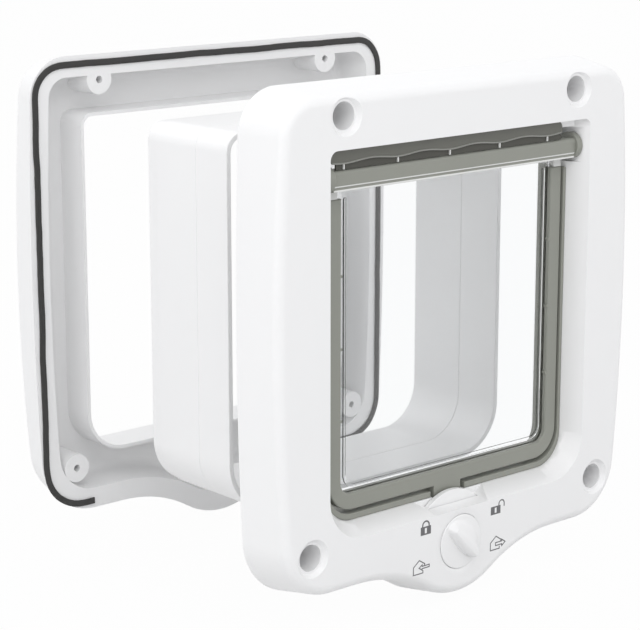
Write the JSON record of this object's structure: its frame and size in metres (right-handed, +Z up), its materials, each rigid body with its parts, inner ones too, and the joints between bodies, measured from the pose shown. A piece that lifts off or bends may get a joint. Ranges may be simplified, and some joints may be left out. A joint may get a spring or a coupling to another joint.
{
  "type": "four-way cat flap",
  "caption": "Cat flap with a clear swinging flap, four-way rotary lock, wall tunnel and matching outer frame, shown pulled apart.",
  "frame": {"origin": "midway between the two upper screw holes of the inner frame, at the inner face of the door", "axes": "+Y out through the door, +Z up, +X to the right seen from the room"},
  "size_m": [0.224, 0.1998, 0.2403],
  "materials": {
    "white_plastic": "satin",
    "grey_plastic": "satin",
    "clear_plastic": "clear",
    "dark_rubber": "matte",
    "magnet": "matte",
    "steel": "brushed"
  },
  "bodies": {
    "inner_group": {"inner_frame": "white_plastic", "liner_left": "grey_plastic", "liner_right": "grey_plastic", "top_seal": "grey_plastic", "keeper_magnet": "magnet", "detent_spring": "steel"},
    "flap": {"hinge_bar": "grey_plastic", "pane_clip": "grey_plastic", "pivot_left": "grey_plastic", "pivot_right": "grey_plastic", "flap_pane": "clear_plastic", "flap_border": "grey_plastic", "flap_magnet": "magnet"},
    "lock": {"lock_knob": "white_plastic", "lock_rotor": "white_plastic", "rear_stop": "white_plastic", "rotor_screw": "steel"},
    "tunnel": {"tunnel_front": "white_plastic", "tunnel_rear": "white_plastic"},
    "outer_group": {"outer_frame": "white_plastic", "gasket": "dark_rubber"}
  },
  "joints": [
    {"name": "flap_swing", "type": "hinge", "parent": "inner_group", "child": "flap", "pos_m": [0, -0.014, -0.027], "axis": [1, 0, 0], "range_deg": [0, 85]},
    {"name": "lock_turn", "type": "hinge", "parent": "inner_group", "child": "lock", "pos_m": [0, -0.0145, -0.2004], "axis": [0, 1, 0], "range_deg": [0, 270]},
    {"name": "outer_slide", "type": "slide", "parent": "inner_group", "child": "outer_group", "axis": [0, 1, 0], "range_m": [-0.1122, 0]},
    {"name": "tunnel_slide", "type": "slide", "parent": "inner_group", "child": "tunnel", "axis": [0, 1, 0], "range_m": [-0.0411, 0]}
  ],
  "couplings": [
    {"joint": "tunnel_slide", "follows": "outer_slide", "ratio": 0.3663}
  ]
}
